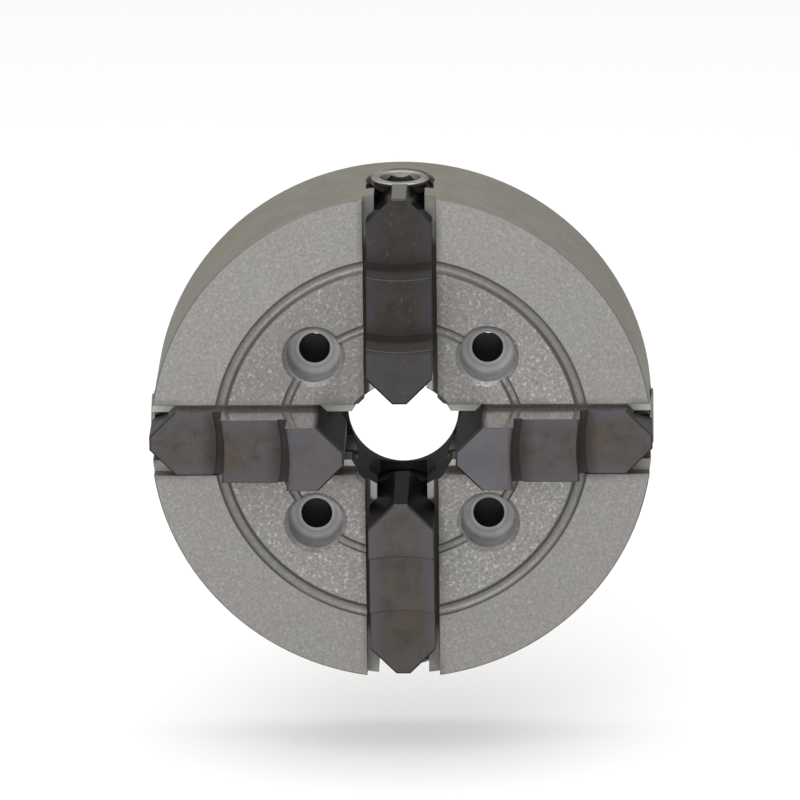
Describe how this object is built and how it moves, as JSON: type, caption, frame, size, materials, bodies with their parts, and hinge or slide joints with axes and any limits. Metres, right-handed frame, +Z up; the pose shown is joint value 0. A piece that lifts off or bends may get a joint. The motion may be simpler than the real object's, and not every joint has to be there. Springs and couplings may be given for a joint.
{
  "type": "four-jaw independent lathe chuck",
  "caption": "Round cast-iron lathe chuck with stepped reversible jaws, each moved on its own by a hex-socket screw from the rim; front bolted.",
  "frame": {"origin": "centre of the back face, on the spindle axis, where the register bore opens", "axes": "+Y along the spindle axis towards the headstock, jaws face -Y, +Z up in working position, +X to the right seen from the front"},
  "size_m": [0.1258, 0.0513, 0.1258],
  "materials": {
    "body_iron": "ground and turned, light oxide",
    "jaw_steel": "hardened, ground, dark oxide",
    "screw_steel": "turned, light oil",
    "yoke_steel": "turned",
    "fastener_steel": "black oxide"
  },
  "bodies": {
    "body": {"chuck_body": "body_iron", "thrust_yoke_top": "yoke_steel", "thrust_yoke_right": "yoke_steel", "thrust_yoke_bottom": "yoke_steel", "thrust_yoke_left": "yoke_steel", "yoke_retaining_screw_top": "fastener_steel", "yoke_retaining_screw_right": "fastener_steel", "yoke_retaining_screw_bottom": "fastener_steel", "yoke_retaining_screw_left": "fastener_steel"},
    "screw_top": {"jaw_screw_top": "screw_steel"},
    "jaw_top": {"jaw_top": "jaw_steel"},
    "screw_right": {"jaw_screw_right": "screw_steel"},
    "jaw_right": {"jaw_right": "jaw_steel"},
    "screw_bottom": {"jaw_screw_bottom": "screw_steel"},
    "jaw_bottom": {"jaw_bottom": "jaw_steel"},
    "screw_left": {"jaw_screw_left": "screw_steel"},
    "jaw_left": {"jaw_left": "jaw_steel"}
  },
  "joints": [
    {"name": "top_screw_turn", "type": "hinge", "parent": "body", "child": "screw_top", "pos_m": [0, -0.0157, 0], "axis": [0, 0, 1], "range_deg": [-2178.5, 3690.5]},
    {"name": "top_jaw_slide", "type": "slide", "parent": "body", "child": "jaw_top", "axis": [0, 0, 1], "range_m": [-0.0121, 0.0205]},
    {"name": "right_screw_turn", "type": "hinge", "parent": "body", "child": "screw_right", "pos_m": [0, -0.0157, 0], "axis": [1, 0, 0], "range_deg": [-2115.5, 3753.5]},
    {"name": "right_jaw_slide", "type": "slide", "parent": "body", "child": "jaw_right", "axis": [1, 0, 0], "range_m": [-0.01175, 0.02085]},
    {"name": "bottom_screw_turn", "type": "hinge", "parent": "body", "child": "screw_bottom", "pos_m": [0, -0.0157, 0], "axis": [0, 0, -1], "range_deg": [-1746.5, 4122.5]},
    {"name": "bottom_jaw_slide", "type": "slide", "parent": "body", "child": "jaw_bottom", "axis": [0, 0, -1], "range_m": [-0.0097, 0.0229]},
    {"name": "left_screw_turn", "type": "hinge", "parent": "body", "child": "screw_left", "pos_m": [0, -0.0157, 0], "axis": [-1, 0, 0], "range_deg": [-2142.5, 3726.5]},
    {"name": "left_jaw_slide", "type": "slide", "parent": "body", "child": "jaw_left", "axis": [-1, 0, 0], "range_m": [-0.0119, 0.0207]}
  ],
  "couplings": [
    {"joint": "top_screw_turn", "follows": "top_jaw_slide", "rad_per_m": 3141.6},
    {"joint": "right_screw_turn", "follows": "right_jaw_slide", "rad_per_m": 3141.6},
    {"joint": "bottom_screw_turn", "follows": "bottom_jaw_slide", "rad_per_m": 3141.6},
    {"joint": "left_screw_turn", "follows": "left_jaw_slide", "rad_per_m": 3141.6}
  ]
}
